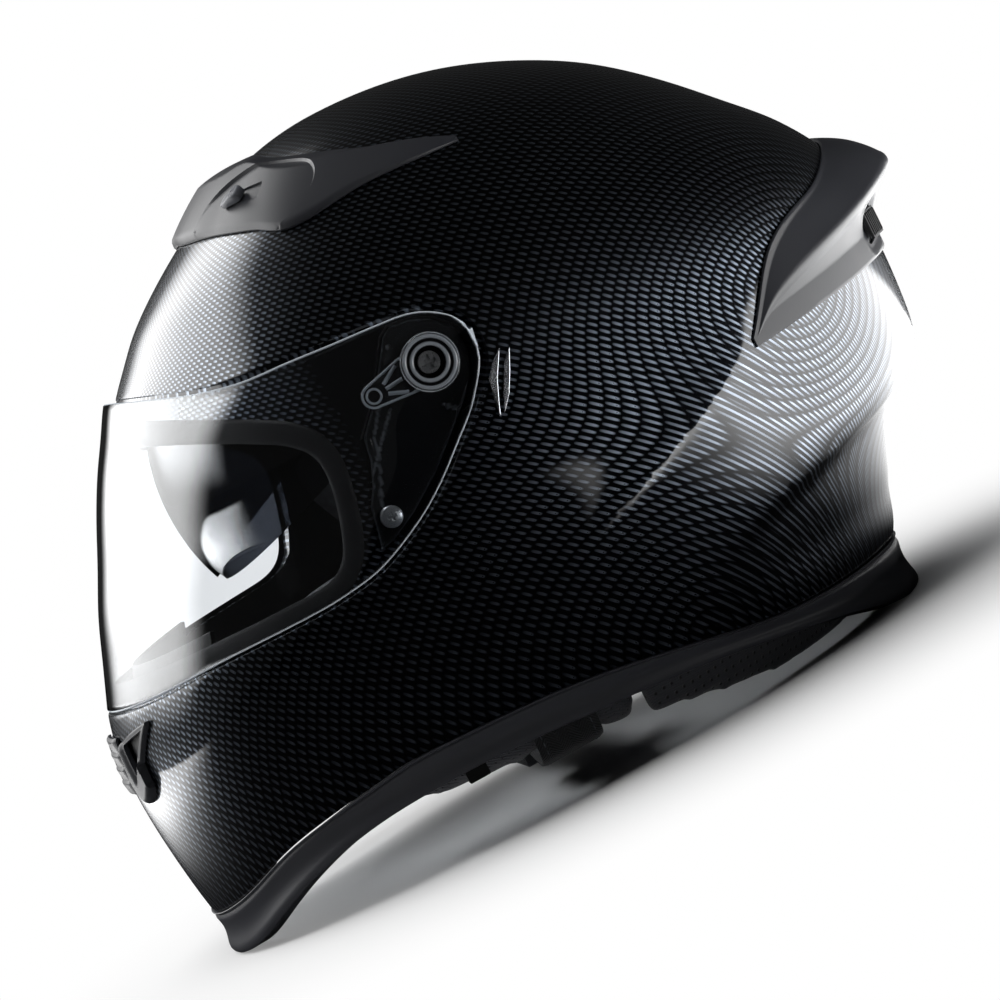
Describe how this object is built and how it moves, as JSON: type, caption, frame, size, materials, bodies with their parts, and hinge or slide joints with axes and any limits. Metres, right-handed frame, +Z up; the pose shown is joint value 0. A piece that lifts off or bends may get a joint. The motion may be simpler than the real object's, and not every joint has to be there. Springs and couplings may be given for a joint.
{
  "type": "full-face motorcycle helmet",
  "caption": "Full-face motorcycle helmet with a lifting clear visor, a drop-down sun visor, sliding vents, padded lining, rear spoiler and a quick-release chin strap.",
  "frame": {"origin": "on the table the helmet stands on, below the middle of its length and width", "axes": "+Z up, the face looks along -Y, the wearer's left is +X"},
  "size_m": [0.257, 0.3571, 0.2542],
  "materials": {
    "shell_print": "glossy clear coat over a printed carbon weave on moulded plastic",
    "trim_black": "satin black soft moulding",
    "gasket_rubber": "soft black rubber",
    "foam": "black expanded foam",
    "lining": "black brushed and perforated lining",
    "clear_visor": "clear polished polycarbonate",
    "tinted_visor": "smoke tinted polycarbonate",
    "mechanism_plastic": "fine matte black",
    "vent_plastic": "fine grained dark grey",
    "screw_steel": "zinc plated",
    "lever_red": "red painted",
    "webbing": "black woven webbing",
    "accent_silver": "silver paint",
    "cable": "black sheath"
  },
  "bodies": {
    "shell": {"outer_shell": "shell_print", "base_trim": "trim_black", "eyeport_gasket": "gasket_rubber", "crown_foam": "foam", "chin_foam": "foam", "crown_pad": "lining", "cheek_pad_left": "lining", "cheek_pad_right": "lining", "neck_roll": "lining", "visor_base_left": "mechanism_plastic", "visor_base_right": "mechanism_plastic", "pivot_screws": "screw_steel", "base_screws": "screw_steel", "sun_visor_pins": "mechanism_plastic", "sun_visor_cable": "cable", "brow_vent_cover": "vent_plastic", "chin_vent_left": "vent_plastic", "chin_vent_right": "vent_plastic", "chin_vent_grilles": "mechanism_plastic", "rear_spoiler": "vent_plastic", "exhaust_grilles": "mechanism_plastic", "side_accents": "accent_silver", "strap_left": "webbing", "strap_right": "webbing", "strap_anchors": "screw_steel", "buckle_body": "screw_steel", "buckle_pin": "screw_steel", "buckle_tongue": "mechanism_plastic", "breath_guard": "gasket_rubber"},
    "visor_body": {"visor": "clear_visor"},
    "lever_left": {"lock_lever_left": "mechanism_plastic"},
    "lever_right": {"lock_lever_right": "mechanism_plastic"},
    "sun_visor_body": {"sun_visor": "tinted_visor"},
    "sun_slider": {"sun_visor_slider": "vent_plastic"},
    "brow_left": {"brow_slider_left": "vent_plastic"},
    "brow_right": {"brow_slider_right": "vent_plastic"},
    "shutter": {"chin_shutter": "vent_plastic"},
    "buckle_release": {"buckle_lever": "lever_red"}
  },
  "joints": [
    {"name": "visor_pivot", "type": "hinge", "parent": "shell", "child": "visor_body", "pos_m": [0, -0.0218, 0.1596], "axis": [-1, 0, 0], "range_deg": [0, 50]},
    {"name": "lever_left_pivot", "type": "hinge", "parent": "shell", "child": "lever_left", "pos_m": [0, -0.0218, 0.1596], "axis": [1, 0, 0], "range_deg": [0, 25]},
    {"name": "lever_right_pivot", "type": "hinge", "parent": "shell", "child": "lever_right", "pos_m": [0, -0.0218, 0.1596], "axis": [1, 0, 0], "range_deg": [0, 25]},
    {"name": "sun_visor_pivot", "type": "hinge", "parent": "shell", "child": "sun_visor_body", "pos_m": [0, -0.0374, 0.15], "axis": [-1, 0, 0], "range_deg": [0, 45]},
    {"name": "sun_slider_slide", "type": "slide", "parent": "shell", "child": "sun_slider", "axis": [0, 1, 0], "range_m": [0, 0.016]},
    {"name": "brow_left_slide", "type": "slide", "parent": "shell", "child": "brow_left", "axis": [0.8055, 0.5926, 0], "range_m": [0, 0.007]},
    {"name": "brow_right_slide", "type": "slide", "parent": "shell", "child": "brow_right", "axis": [-0.8055, 0.5926, 0], "range_m": [0, 0.007]},
    {"name": "shutter_slide", "type": "slide", "parent": "shell", "child": "shutter", "axis": [0, -0.123, -0.9924], "range_m": [0, 0.005]},
    {"name": "buckle_pivot", "type": "hinge", "parent": "shell", "child": "buckle_release", "pos_m": [0.025, -0.0374, 0.024], "axis": [0, -1, 0], "range_deg": [0, 60]}
  ],
  "couplings": [
    {"joint": "sun_slider_slide", "follows": "sun_visor_pivot", "m_per_rad": 0.020372}
  ]
}
